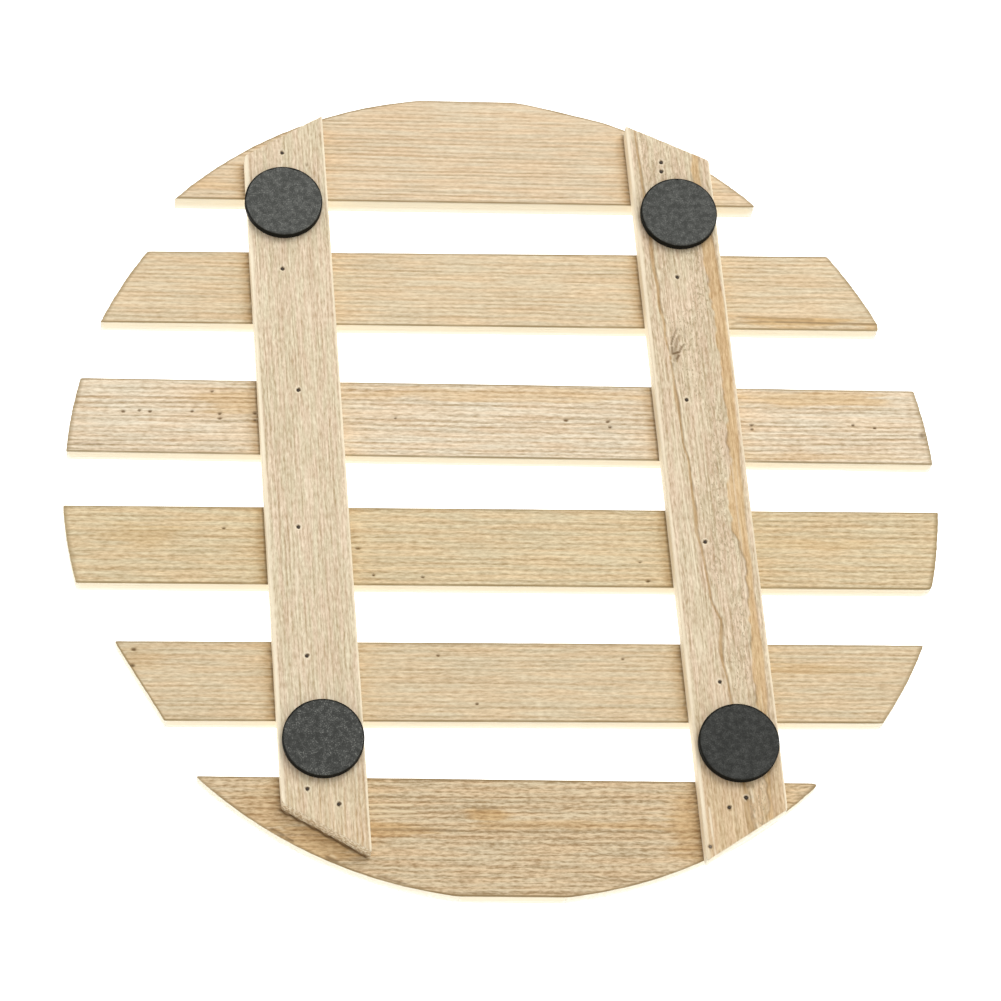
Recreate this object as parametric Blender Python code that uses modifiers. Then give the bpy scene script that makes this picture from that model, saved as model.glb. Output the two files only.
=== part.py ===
"""Round bamboo trivet, lying on the face that carries the pot, with its underside up.

Six slats lie side by side and are cut to one round rim. Two battens cross them, held by thin
headless nails, and a rubber foot is glued near each end of each batten.

Frame: +Z points out of the underside, +X runs along the slats and +Y towards slat_1. The slats'
flat faces lie on z = 0, and the origin is below the middle of the whole outline. Half a turn
about X stands the trivet on its feet.
"""

import math
from collections import namedtuple

import bmesh
import bpy
from mathutils import Vector

MM = 0.001

# Driving dimensions, in metres
SLAT_THICKNESS = 3.7 * MM
BATTEN_THICKNESS = 3.6 * MM
FOOT_RADIUS = 8.0 * MM
FOOT_THICKNESS = 1.8 * MM
FOOT_EDGE = 0.25 * MM
NAIL_RADIUS = 0.35 * MM
NAIL_POINT = 1.0 * MM
NAIL_SUNK = 0.15 * MM
NAIL_TIP_Z = 1.2 * MM
CLEARANCE = 0.3 * MM
SLAT_ARRIS = 0.35 * MM
BATTEN_ARRIS = 0.5 * MM

# Centre of the round rim, seen from the middle of the outline's box
RIM_CENTRE = Vector((0.0, -0.68 * MM, 0.0))

# Heights where each layer starts
BATTEN_Z = SLAT_THICKNESS + CLEARANCE
FOOT_Z = BATTEN_Z + BATTEN_THICKNESS + CLEARANCE
NAIL_TOP_Z = BATTEN_Z + BATTEN_THICKNESS - NAIL_SUNK

ARC_STEP = math.radians(2.0)
ROUND_SIDES = 48
NAIL_SIDES = 12
SHARP_ANGLE = math.radians(40.0)
WELD = 0.001 * MM

# A slat is the strip between a low and a high straight edge, cut by its own circle. Each edge
# is a height at x = 0 and a slope, and an outer slat has only its inner edge. rim_x, rim_y and
# rim_r are the circle's centre and radius. All lengths are in millimetres.
Slat = namedtuple("Slat", "name low low_slope high high_slope rim_x rim_y rim_r tint")
SLATS = (
    Slat("slat_1", 64.7, 0.0045, None, 0.0, -5.2, 2.9, 87.0, (0.76, 0.61, 0.41)),
    Slat("slat_2", 35.7, 0.0052, 52.9, 0.0115, -0.6, 0.0, 88.5, (0.74, 0.60, 0.38)),
    Slat("slat_3", 5.7, -0.0032, 22.6, -0.0015, 0.1, 0.0, 88.6, (0.74, 0.61, 0.42)),
    Slat("slat_4", -22.6, 0.0012, -5.4, 0.0034, 0.0, 0.0, 88.9, (0.69, 0.57, 0.34)),
    Slat("slat_5", -51.7, 0.0022, -34.7, 0.0024, 2.5, 0.0, 88.0, (0.71, 0.58, 0.37)),
    Slat("slat_6", None, 0.0, -63.6, -0.0080, -0.6, 0.0, 88.5, (0.61, 0.47, 0.28)),
)

# Straight saw cuts on the rim: the way each one faces, in degrees, and its distance out.
Facet = namedtuple("Facet", "slat faces distance")
FACETS = (
    Facet("slat_1", 90.0, 89.35),
    Facet("slat_1", 76.0, 88.2),
    Facet("slat_2", 0.0, 79.4),
    Facet("slat_5", 210.6, 85.3),
    Facet("slat_6", -90.5, 87.9),
)

# Corners that were rubbed round: the slat, the corner's name and how far the curve reaches.
EasedCorner = namedtuple("EasedCorner", "slat corner reach")
EASED_CORNERS = (
    EasedCorner("slat_1", "low_right", 1.5),
    EasedCorner("slat_4", "low_right", 1.2),
    EasedCorner("slat_6", "high_right", 2.0),
    EasedCorner("slat_6", "high_left", 1.0),
)

# A batten's centre line crosses y = 0 at x and leans by that many millimetres for each one in
# y. The last four columns are the heights of its corners, so each end is one straight cut.
Batten = namedtuple("Batten", "name x lean width far_left far_right near_left near_right tint")
BATTENS = (
    Batten("batten_left", -40.65, -0.0446, 16.9, 72.8, 83.0, -70.1, -80.2, (0.74, 0.60, 0.42)),
    Batten("batten_right", 40.6, -0.0512, 17.1, 82.1, 74.1, -81.9, -71.2, (0.72, 0.57, 0.38)),
)

# Feet, by the middle of each disc.
Foot = namedtuple("Foot", "name x y")
FEET = (
    Foot("foot_far_left", -44.3, 61.3),
    Foot("foot_far_right", 38.0, 60.4),
    Foot("foot_near_left", -37.8, -57.2),
    Foot("foot_near_right", 43.7, -57.7),
)

# Nails, by the slat that each one enters. across is measured from the batten's centre line.
Nail = namedtuple("Nail", "batten slat across y")
NAILS = (
    Nail("batten_left", "slat_1", -0.5, 73.7),
    Nail("batten_left", "slat_2", -1.9, 46.4),
    Nail("batten_left", "slat_3", -0.2, 18.7),
    Nail("batten_left", "slat_4", -1.9, -11.7),
    Nail("batten_left", "slat_5", -1.8, -39.4),
    Nail("batten_left", "slat_6", -3.3, -67.2),
    Nail("batten_left", "slat_6", 2.6, -70.3),
    Nail("batten_right", "slat_1", -1.7, 73.3),
    Nail("batten_right", "slat_1", -1.9, 71.1),
    Nail("batten_right", "slat_2", -1.1, 46.1),
    Nail("batten_right", "slat_3", -2.1, 17.8),
    Nail("batten_right", "slat_4", -1.7, -14.0),
    Nail("batten_right", "slat_5", -2.0, -44.3),
    Nail("batten_right", "slat_6", 0.6, -68.6),
    Nail("batten_right", "slat_6", -3.0, -70.7),
    Nail("batten_right", "slat_6", -7.6, -78.8),
)


def clear_scene():
    """Remove every object, such as the start-up cube, camera and light."""
    for thing in list(bpy.data.objects):
        bpy.data.objects.remove(thing, do_unlink=True)


def new_collection(name):
    """Return a collection linked to the scene."""
    group = bpy.data.collections.new(name)
    bpy.context.scene.collection.children.link(group)
    return group


def make_material(name, colour, roughness, metallic=0.0):
    """Return a plain finish for one piece."""
    finish = bpy.data.materials.new(name)
    finish.use_nodes = True
    shader = finish.node_tree.nodes["Principled BSDF"]
    shader.inputs["Base Color"].default_value = (*colour, 1.0)
    shader.inputs["Roughness"].default_value = roughness
    shader.inputs["Metallic"].default_value = metallic
    return finish


def edge_corner(slat, height, slope, side):
    """Return where a straight edge meets the slat's circle, on the left (-1) or right (+1)."""
    # x solves (x - rim_x)^2 + (height + slope x - rim_y)^2 = rim_r^2
    rise = height - slat.rim_y
    a = 1.0 + slope * slope
    b = slope * rise - slat.rim_x
    c = slat.rim_x**2 + rise**2 - slat.rim_r**2
    x = (-b + side * math.sqrt(b * b - a * c)) / a
    return Vector((x, height + slope * x))


def rim_arc(slat, start, end):
    """Return points on the slat's circle, anticlockwise from one corner to the next."""
    centre = Vector((slat.rim_x, slat.rim_y))
    first = math.atan2(start.y - centre.y, start.x - centre.x)
    last = math.atan2(end.y - centre.y, end.x - centre.x)
    if last < first:
        last += 2.0 * math.pi
    steps = max(4, round((last - first) / ARC_STEP))
    angles = [first + (last - first) * i / steps for i in range(steps + 1)]
    return [centre + slat.rim_r * Vector((math.cos(t), math.sin(t))) for t in angles]


def cut_straight(outline, facet):
    """Return the outline without what lies beyond a straight saw cut."""
    turn = math.radians(facet.faces)
    outward = Vector((math.cos(turn), math.sin(turn)))
    kept = []
    for here, there in zip(outline, outline[1:] + outline[:1]):
        past = here.dot(outward) - facet.distance
        next_past = there.dot(outward) - facet.distance
        if past <= 0.0:
            kept.append(here)
        if past * next_past < 0.0:
            kept.append(here.lerp(there, past / (past - next_past)))
    return kept


def ease_corner(outline, corner, reach, steps=5):
    """Replace what lies within reach of a corner by a curve that is tangent to both sides."""
    start = min(range(len(outline)), key=lambda i: (outline[i] - corner).length)
    ring = outline[start:] + outline[:start]

    def leave(points):
        """Return the rest of the outline from where it first gets out of reach."""
        for i in range(1, len(points)):
            far = (points[i] - corner).length
            if far > reach:
                near = (points[i - 1] - corner).length
                share = (reach - near) / (far - near)
                return [points[i - 1].lerp(points[i], share)] + points[i:]
        return points

    forward = leave(ring)
    kept = leave([ring[0]] + forward[::-1])[::-1]
    before = kept[-1]
    after = kept[0]
    turns = [i / steps for i in range(1, steps)]
    curve = [before.lerp(corner, t).lerp(corner.lerp(after, t), t) for t in turns]
    return kept + curve


def slat_outline(slat):
    """Return a slat's outline, anticlockwise."""
    corners = {}
    if slat.low is not None:
        corners["low_right"] = edge_corner(slat, slat.low, slat.low_slope, 1.0)
        corners["low_left"] = edge_corner(slat, slat.low, slat.low_slope, -1.0)
    if slat.high is not None:
        corners["high_right"] = edge_corner(slat, slat.high, slat.high_slope, 1.0)
        corners["high_left"] = edge_corner(slat, slat.high, slat.high_slope, -1.0)
    if slat.high is None:
        outline = rim_arc(slat, corners["low_right"], corners["low_left"])
    elif slat.low is None:
        outline = rim_arc(slat, corners["high_left"], corners["high_right"])
    else:
        outline = rim_arc(slat, corners["low_right"], corners["high_right"])
        outline += rim_arc(slat, corners["high_left"], corners["low_left"])
    for facet in FACETS:
        if facet.slat == slat.name:
            outline = cut_straight(outline, facet)
    for eased in EASED_CORNERS:
        if eased.slat == slat.name:
            outline = ease_corner(outline, corners[eased.corner], eased.reach)
    return outline


def batten_centre(batten, y):
    """Return the x of a batten's centre line at a given y, in millimetres."""
    return batten.x + batten.lean * y


def batten_outline(batten):
    """Return a batten's four corners, anticlockwise."""
    half = batten.width / 2.0
    corners = (
        (-half, batten.near_left),
        (half, batten.near_right),
        (half, batten.far_right),
        (-half, batten.far_left),
    )
    return [Vector((batten_centre(batten, y) + across, y)) for across, y in corners]


def board(name, outline, thickness, base_z, group, parent):
    """Return a flat board: an outline in millimetres, filled and extruded from base_z up."""
    curve = bpy.data.curves.new(name, "CURVE")
    curve.dimensions = "2D"
    curve.fill_mode = "BOTH"
    curve.extrude = thickness / 2.0
    spline = curve.splines.new("POLY")
    spline.points.add(len(outline) - 1)
    for point, place in zip(spline.points, outline):
        point.co = (place.x * MM, place.y * MM, 0.0, 1.0)
    spline.use_cyclic_u = True
    drawn = bpy.data.objects.new(name + "_outline", curve)
    group.objects.link(drawn)

    graph = bpy.context.evaluated_depsgraph_get()
    mesh = bpy.data.meshes.new_from_object(drawn.evaluated_get(graph))
    mesh.name = name
    bpy.data.objects.remove(drawn, do_unlink=True)
    bpy.data.curves.remove(curve)
    weld_and_flatten(mesh)

    thing = bpy.data.objects.new(name, mesh)
    thing.location = (0.0, 0.0, base_z + thickness / 2.0)
    thing.parent = parent
    group.objects.link(thing)
    return thing


def weld_and_flatten(mesh):
    """Join a filled curve's loose caps to its sides, and make each cap one flat face."""
    shape = bmesh.new()
    shape.from_mesh(mesh)
    bmesh.ops.remove_doubles(shape, verts=shape.verts, dist=WELD)
    bmesh.ops.dissolve_limit(
        shape,
        angle_limit=math.radians(0.5),
        verts=shape.verts,
        edges=shape.edges,
    )
    bmesh.ops.recalc_face_normals(shape, faces=shape.faces)
    shape.to_mesh(mesh)
    shape.free()


def round_arrises(thing, width):
    """Ease the sharp edges of a board."""
    bevel = thing.modifiers.new("arrises", "BEVEL")
    bevel.limit_method = "ANGLE"
    bevel.angle_limit = SHARP_ANGLE
    bevel.width = width
    bevel.segments = 2


def screw_turned(name, profile, sides, group, parent):
    """Return a turned piece: a profile of (radius, height) points, spun about Z."""
    mesh = bpy.data.meshes.new(name)
    points = [(radius, 0.0, height) for radius, height in profile]
    mesh.from_pydata(points, [(i, i + 1) for i in range(len(points) - 1)], [])
    thing = bpy.data.objects.new(name, mesh)
    thing.parent = parent
    group.objects.link(thing)
    screw = thing.modifiers.new("turn", "SCREW")
    screw.steps = sides
    screw.render_steps = sides
    screw.use_merge_vertices = True
    screw.merge_threshold = WELD
    screw.use_smooth_shade = True
    return thing


def make_foot(foot, group, parent):
    """Return a rubber disc with its two rims eased."""
    rim = FOOT_RADIUS
    top = FOOT_THICKNESS
    edge = FOOT_EDGE
    profile = (
        (0.0, top),
        (rim - edge, top),
        (rim, top - edge),
        (rim, edge),
        (rim - edge, 0.0),
        (0.0, 0.0),
    )
    disc = screw_turned(foot.name, profile, ROUND_SIDES, group, parent)
    disc.location = (foot.x * MM, foot.y * MM, FOOT_Z)
    return disc


def make_nail(name, place, group, parent):
    """Return a headless nail that stands at a place, point down."""
    profile = (
        (0.0, NAIL_TOP_Z),
        (NAIL_RADIUS, NAIL_TOP_Z),
        (NAIL_RADIUS, NAIL_TIP_Z + NAIL_POINT),
        (0.0, NAIL_TIP_Z),
    )
    nail = screw_turned(name, profile, NAIL_SIDES, group, parent)
    nail.location = (place.x * MM, place.y * MM, 0.0)
    return nail


def make_bores(name, places, floor_z, roof_z, group, parent):
    """Return one cutter that holds a round bore for each nail, from floor_z up to roof_z."""
    # The flats of the many-sided bore keep the clearance to the nail
    radius = (NAIL_RADIUS + CLEARANCE) / math.cos(math.pi / NAIL_SIDES)
    shape = bmesh.new()
    for place in places:
        made = bmesh.ops.create_cone(
            shape,
            cap_ends=True,
            segments=NAIL_SIDES,
            radius1=radius,
            radius2=radius,
            depth=roof_z - floor_z,
        )
        middle = Vector((place.x * MM, place.y * MM, (floor_z + roof_z) / 2.0))
        bmesh.ops.translate(shape, verts=made["verts"], vec=middle)
    mesh = bpy.data.meshes.new(name)
    shape.to_mesh(mesh)
    shape.free()
    cutter = bpy.data.objects.new(name, mesh)
    cutter.parent = parent
    cutter.hide_render = True
    cutter.display_type = "WIRE"
    group.objects.link(cutter)
    return cutter


def drill(thing, cutter):
    """Cut the nails' bores out of a board."""
    cut = thing.modifiers.new("bores", "BOOLEAN")
    cut.operation = "DIFFERENCE"
    cut.solver = "EXACT"
    cut.object = cutter


def nail_place(nail):
    """Return where a nail stands, in millimetres from the rim's centre."""
    batten = next(b for b in BATTENS if b.name == nail.batten)
    return Vector((batten_centre(batten, nail.y) + nail.across, nail.y))


def build():
    """Make the whole trivet."""
    clear_scene()
    trivet = new_collection("bamboo_trivet")
    cutters = new_collection("cutters")
    rim = bpy.data.objects.new("rim_centre", None)
    rim.location = RIM_CENTRE
    trivet.objects.link(rim)

    # Slats, with a blind bore for each nail, so that the faces under the pot stay whole
    for slat in SLATS:
        thing = board(slat.name, slat_outline(slat), SLAT_THICKNESS, 0.0, trivet, rim)
        round_arrises(thing, SLAT_ARRIS)
        places = [nail_place(n) for n in NAILS if n.slat == slat.name]
        floor_z = NAIL_TIP_Z - CLEARANCE
        roof_z = SLAT_THICKNESS + CLEARANCE
        drill(thing, make_bores("bores_" + slat.name, places, floor_z, roof_z, cutters, rim))
        thing.data.materials.append(make_material(slat.name, slat.tint, 0.6))

    # Battens, bored right through
    for batten in BATTENS:
        outline = batten_outline(batten)
        thing = board(batten.name, outline, BATTEN_THICKNESS, BATTEN_Z, trivet, rim)
        round_arrises(thing, BATTEN_ARRIS)
        places = [nail_place(n) for n in NAILS if n.batten == batten.name]
        floor_z = BATTEN_Z - CLEARANCE
        roof_z = BATTEN_Z + BATTEN_THICKNESS + CLEARANCE
        drill(thing, make_bores("bores_" + batten.name, places, floor_z, roof_z, cutters, rim))
        thing.data.materials.append(make_material(batten.name, batten.tint, 0.6))

    # Rubber feet
    for foot in FEET:
        disc = make_foot(foot, trivet, rim)
        disc.data.materials.append(make_material(foot.name, (0.055, 0.055, 0.056), 0.85))

    # Nails, numbered along each batten from the far end
    for batten in BATTENS:
        in_batten = [n for n in NAILS if n.batten == batten.name]
        side = batten.name.split("_")[1]
        for number, nail in enumerate(in_batten, start=1):
            name = "nail_" + side + "_" + str(number)
            pin = make_nail(name, nail_place(nail), trivet, rim)
            pin.data.materials.append(make_material(name, (0.25, 0.23, 0.21), 0.45, 1.0))


build()
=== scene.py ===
# %% [markdown]
# # A round bamboo trivet, lying face down
#
# Six flat slats of bamboo are nailed to two battens, and a rubber foot is glued near each batten's
# end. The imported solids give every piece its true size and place. This lesson dresses them: each
# slat and batten becomes a surface worked out with numpy, with furrows, saw cuts, pits and eased
# arrises, and the grain in its material runs along the same fibres.

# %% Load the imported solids
from collections import namedtuple

import bmesh
import bpy
import numpy as np
from mathutils import Matrix, Vector
from mathutils.geometry import convex_hull_2d


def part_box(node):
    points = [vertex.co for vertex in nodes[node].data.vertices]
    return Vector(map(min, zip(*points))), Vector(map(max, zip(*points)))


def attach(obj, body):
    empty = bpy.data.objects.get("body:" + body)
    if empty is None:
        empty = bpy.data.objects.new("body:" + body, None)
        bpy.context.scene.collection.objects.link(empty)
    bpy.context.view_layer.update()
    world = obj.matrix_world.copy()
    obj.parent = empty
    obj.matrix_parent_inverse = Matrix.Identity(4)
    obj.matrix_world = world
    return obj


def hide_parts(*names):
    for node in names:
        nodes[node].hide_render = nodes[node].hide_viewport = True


MM = 0.001
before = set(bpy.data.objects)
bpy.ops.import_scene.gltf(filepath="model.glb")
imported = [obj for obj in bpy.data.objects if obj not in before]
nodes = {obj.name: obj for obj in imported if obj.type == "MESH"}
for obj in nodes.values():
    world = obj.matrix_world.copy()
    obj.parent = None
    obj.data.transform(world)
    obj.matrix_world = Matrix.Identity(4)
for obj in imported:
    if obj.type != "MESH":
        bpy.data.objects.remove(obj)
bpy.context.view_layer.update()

# %% [markdown]
# ## The camera
#
# The object is looked at from above its near side, a little to the left, and with the picture
# turned a little. A camera can be aimed with a constraint, but the turn in the picture is easier
# to state when the three axes are worked out: back towards the camera, right and up.

# %% Camera
AZIMUTH = 0.24404
ELEVATION = 1.12483
ROLL = 0.23267
DISTANCE = 793.6 * MM
TARGET = Vector((-0.975, -4.33, 3.7)) * MM
FOCAL_PIXELS = 3935.6
PICTURE_PIXELS = 1001
SENSOR_WIDTH = 36.0

ground = Vector((-np.sin(AZIMUTH), -np.cos(AZIMUTH), 0.0))
back = ground * np.cos(ELEVATION) + Vector((0.0, 0.0, np.sin(ELEVATION)))
level = Vector((0.0, 0.0, 1.0)).cross(back).normalized()
upright = back.cross(level)
right = level * np.cos(ROLL) + upright * np.sin(ROLL)
up = back.cross(right)


def link(name, data):
    """New object that is linked to the scene."""
    thing = bpy.data.objects.new(name, data)
    bpy.context.scene.collection.objects.link(thing)
    return thing


lens = bpy.data.cameras.new("studio_camera")
lens.sensor_width = SENSOR_WIDTH
lens.lens = FOCAL_PIXELS / PICTURE_PIXELS * SENSOR_WIDTH
lens.clip_start = 0.01
camera = link("studio_camera", lens)
axes = Matrix((right, up, back)).transposed().to_4x4()
camera.matrix_world = Matrix.Translation(TARGET + back * DISTANCE) @ axes
bpy.context.scene.camera = camera
print("lens", round(lens.lens, 1), "mm")

# %% [markdown]
# ## Noise made by hand
#
# Wood is never even. All its unevenness here comes from one kind of noise: random heights on the
# corners of a lattice, with a smooth blend between them. The lattice is stretched along the fibres
# to make furrows, and left square to make blotches. Each use has its own seed, so every run agrees.

# %% Noise and soft steps
LATTICE = 256


def ease(low, high, x):
    """Soft step: 0 below low, 1 above high, and 3t^2 - 2t^3 between them."""
    t = np.clip((x - low) / (high - low), 0.0, 1.0)
    return t * t * (3.0 - 2.0 * t)


def lattice(u, v, seed):
    """Noise from 0 to 1: random heights at whole numbers of u and v, softly blended between."""
    heights = np.random.default_rng(seed).random((LATTICE, LATTICE))
    cell_u = np.floor(u).astype(int)
    cell_v = np.floor(v).astype(int)
    part_u = ease(0.0, 1.0, u - cell_u)
    part_v = ease(0.0, 1.0, v - cell_v)
    here_u = cell_u % LATTICE
    here_v = cell_v % LATTICE
    next_u = (cell_u + 1) % LATTICE
    next_v = (cell_v + 1) % LATTICE
    near = heights[here_u, here_v] * (1.0 - part_u) + heights[next_u, here_v] * part_u
    far = heights[here_u, next_v] * (1.0 - part_u) + heights[next_u, next_v] * part_u
    return near * (1.0 - part_v) + far * part_v


sample = lattice(np.linspace(0.0, 50.0, 5000), np.zeros(5000), seed=1)
print("noise from", sample.min().round(3), "to", sample.max().round(3))

# %% [markdown]
# ## A board's guide lines
#
# A slat is a strip with two straight long edges, cut off by the round rim. Its solid already has
# that outline, so the new surface is guided by it: the outline's two long edges give the direction
# of the fibres, and each fibre runs from where it enters the outline to where it leaves it.
# Lengths are in millimetres in a board's own frame: along the fibres, across them, and up.

# %% Outline, long edges and the ends of each fibre
Board = namedtuple("Board", "node x y turn base thickness arris step")
Edge = namedtuple("Edge", "height slope")
FACING = 0.99


def board_outline(board):
    """Corners of a board's outline, anticlockwise, in its own frame."""
    turn = np.radians(board.turn)
    spots = np.array([v.co[:2] for v in nodes[board.node].data.vertices]) / MM
    spots = spots - (board.x, board.y)
    along = spots @ (np.cos(turn), np.sin(turn))
    across = spots @ (-np.sin(turn), np.cos(turn))
    flat = np.stack((along, across), axis=1)
    return flat[convex_hull_2d([tuple(spot) for spot in flat])]


def long_edge(ring, side):
    """The longest edge that faces across, to the low (-1) or the high (+1) side, as a line."""
    step = np.roll(ring, -1, axis=0) - ring
    length = np.hypot(step[:, 0], step[:, 1])
    facing = -side * step[:, 0] / length > FACING
    best = np.argmax(np.where(facing, length, 0.0))
    slope = step[best, 1] / step[best, 0]
    return Edge(ring[best, 1] - slope * ring[best, 0], slope)


def fibre_ends(ring, height, slope):
    """Where each line, across = height + slope * along, enters and leaves the outline."""
    gap = ring[:, 1] - height[:, None] - slope[:, None] * ring[:, 0]
    next_gap = np.roll(gap, -1, axis=1)
    crosses = gap * next_gap < 0.0
    share = gap / np.where(crosses, gap - next_gap, 1.0)
    along = ring[:, 0] + share * (np.roll(ring, -1, axis=0) - ring)[:, 0]
    left = np.where(crosses, along, np.inf).min(axis=1)
    right = np.where(crosses, along, -np.inf).max(axis=1)
    return left, right


# %% [markdown]
# ## A board's section and rows
#
# The surface is a profile carried along the fibres. The profile is the board's section: up the low
# side, round the arris, over the face, and back underneath. Near each end the profile is clipped
# to less and less height, first round the arris and then down the sawn end, until its upper and
# lower halves meet in a seam, which closes the end. So one grid of rows and columns makes the
# whole board, and its lines run with the fibres.

# %% Section and rows
ARRIS_STEPS = 4
SIDE_STEPS = 6
COLUMN_SPACING = 0.20
CLOSE_ROWS = np.arange(-0.75, 0.76, 0.15)
LEAST_STEP = 0.05
Section = namedtuple("Section", "share height out_across out_up")
Rows = namedtuple("Rows", "share near far squeeze end")


def board_section(width, board):
    """Columns round a board: share across, height, and the way each one faces.

    An arris is a quarter circle: its angle runs from level to straight up. The lower half mirrors
    the upper half, so column j and column n - j lie above each other."""
    arris = board.arris
    angle = np.linspace(0.0, np.pi / 2.0, ARRIS_STEPS + 1)
    side = np.linspace(board.thickness / 2.0, board.thickness - arris, SIDE_STEPS)[:-1]
    face = np.arange(arris, width - arris - COLUMN_SPACING / 2.0, COLUMN_SPACING)[1:]
    inset = np.concatenate((0.0 * side, arris * (1.0 - np.cos(angle))))
    rise = np.concatenate((side, board.thickness - arris * (1.0 - np.sin(angle))))
    level = np.concatenate((1.0 + 0.0 * side, np.cos(angle)))
    climb = np.concatenate((0.0 * side, np.sin(angle)))
    share = np.concatenate((inset / width, face / width, 1.0 - inset[::-1] / width))
    height = np.concatenate((rise, board.thickness + 0.0 * face, rise[::-1]))
    out_across = np.concatenate((-level, 0.0 * face, level[::-1]))
    out_up = np.concatenate((climb, 1.0 + 0.0 * face, climb[::-1]))
    under = slice(-2, 0, -1)
    return Section(
        np.concatenate((share, share[under])),
        np.concatenate((height, board.thickness - height[under])),
        np.concatenate((out_across, out_across[under])),
        np.concatenate((out_up, -out_up[under])),
    )


def board_rows(length, board, extra):
    """Rows from end to end: share along, how much of each end's arris is passed, and squeeze.

    extra holds shares along where something small needs close rows around it."""
    flat_end = 1.0 - 2.0 * board.arris / board.thickness
    angle = np.linspace(np.pi / 2.0, 0.0, ARRIS_STEPS + 1)[:-1]
    sawn = np.linspace(0.0, flat_end, SIDE_STEPS)[:-1]
    cap_near = np.concatenate((0.0 * sawn, 1.0 - np.sin(angle)))
    cap_squeeze = np.concatenate((sawn, 1.0 - (1.0 - flat_end) * (1.0 - np.cos(angle))))
    cap_end = np.concatenate((1.0 + 0.0 * sawn, np.sin(angle)))
    body = np.linspace(0.0, 1.0, int(length / board.step))
    close = np.add.outer(extra, CLOSE_ROWS / length).ravel()
    body = np.unique(np.clip(np.concatenate((body, close)), 0.0, 1.0))
    body = body[np.concatenate(([True], np.diff(body) > LEAST_STEP / length))]
    ones = 1.0 + 0.0 * body
    return Rows(
        np.concatenate((0.0 * cap_near, body, 1.0 + 0.0 * cap_near)),
        np.concatenate((cap_near, ones, 1.0 + 0.0 * cap_near)),
        np.concatenate((0.0 * cap_near, 0.0 * body, (1.0 - cap_near)[::-1])),
        np.concatenate((cap_squeeze, ones, cap_squeeze[::-1])),
        np.concatenate((-cap_end, 0.0 * body, cap_end[::-1])),
    )


# %% [markdown]
# ## The board's grid
#
# Now both parts meet. The grid keeps, for every point, its place, the way it faces, how far it is
# from the nearest edge of the face, and which zone it belongs to, so that the next steps can carve
# and stain it as whole arrays.

# %% Lay the grid
Grid = namedtuple("Grid", "board along across up out face under end rim low high")
CORNER = 0.15
STEEPEST = 4.0
GUIDES = 400


def lay_board(board, small=()):
    """Grid of a board: each fibre's line is cut by the outline, and the rows share its length.

    small holds (along, across) places that need close rows."""
    ring = board_outline(board)
    low = long_edge(ring, -1)
    high = long_edge(ring, 1)
    width = high.height - low.height
    section = board_section(width, board)

    # Ends of the fibres and their slopes, on fine guide lines, with the corners rubbed round
    guide = np.linspace(0.001, 0.999, GUIDES)
    height = low.height + guide * width
    slope = low.slope + guide * (high.slope - low.slope)
    left, right = fibre_ends(ring, height, slope)
    edge = np.clip(CORNER - np.minimum(guide, 1.0 - guide) * width, 0.0, CORNER)
    rubbed = CORNER - np.sqrt(CORNER**2 - edge**2)
    left = left + rubbed
    right = right - rubbed
    left_slope = np.interp(section.share, guide, np.gradient(left, height))
    right_slope = np.interp(section.share, guide, np.gradient(right, height))
    left_end = np.interp(section.share, guide, left)
    right_end = np.interp(section.share, guide, right)
    length = right_end - left_end
    left_arris = board.arris * np.minimum(np.hypot(1.0, left_slope), STEEPEST)
    right_arris = board.arris * np.minimum(np.hypot(1.0, right_slope), STEEPEST)

    spots = np.array(small, float).reshape(-1, 2)
    spot_share = (spots[:, 1] - low.height) / width
    spot_left = np.interp(spot_share, guide, left)
    spot_right = np.interp(spot_share, guide, right)
    extra = (spots[:, 0] - spot_left) / (spot_right - spot_left)
    rows = board_rows(length.max(), board, extra)

    along = (
        left_end
        + left_arris * rows.near[:, None]
        + (length - left_arris - right_arris) * rows.share[:, None]
        + right_arris * rows.far[:, None]
    )
    across = (1.0 - section.share) * (low.height + low.slope * along)
    across = across + section.share * (high.height + high.slope * along)
    middle = board.thickness / 2.0
    rise = section.height - middle
    up = middle + np.sign(rise) * np.minimum(np.abs(rise), middle * rows.squeeze[:, None])

    # The way each point faces: the section's own way, turned outwards over each end's arris
    end = rows.end[:, None] + 0.0 * section.share
    flat = np.sqrt(np.clip(1.0 - end**2, 0.0, 1.0))
    end_slope = np.where(end < 0.0, left_slope, right_slope)
    tilt = np.hypot(1.0, end_slope)
    out = np.stack(
        (end / tilt, flat * section.out_across - end * end_slope / tilt, flat * section.out_up),
        axis=-1,
    )
    out = out / np.linalg.norm(out, axis=-1, keepdims=True)

    from_side = np.minimum(section.share, 1.0 - section.share) * width
    from_end = np.minimum(
        (along - left_end) / np.hypot(1.0, left_slope),
        (right_end - along) / np.hypot(1.0, right_slope),
    )
    rim = np.minimum(from_side, from_end)
    face = (section.out_up > 0.5) & (np.abs(end) < 0.5)
    under = (section.out_up < -0.5) & (np.abs(end) < 0.5)
    return Grid(board, along, across, up, out, face, under, end, rim, low, high)


# %% [markdown]
# ## From grid to mesh
#
# Each cell of the grid becomes a four-sided face. The rows go on round the section, so the last
# column joins the first. In the first and the last row, a column and its mirror column become one
# point, which closes the ends without loose edges. What varies over the wood, such as a stain, is
# kept on the points as named values, and the material reads them by name. At each corner of an
# end the clipped side and the clipped end share their points, so these are merged by distance.

# %% Make the mesh
WELD = 0.001 * MM


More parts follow.
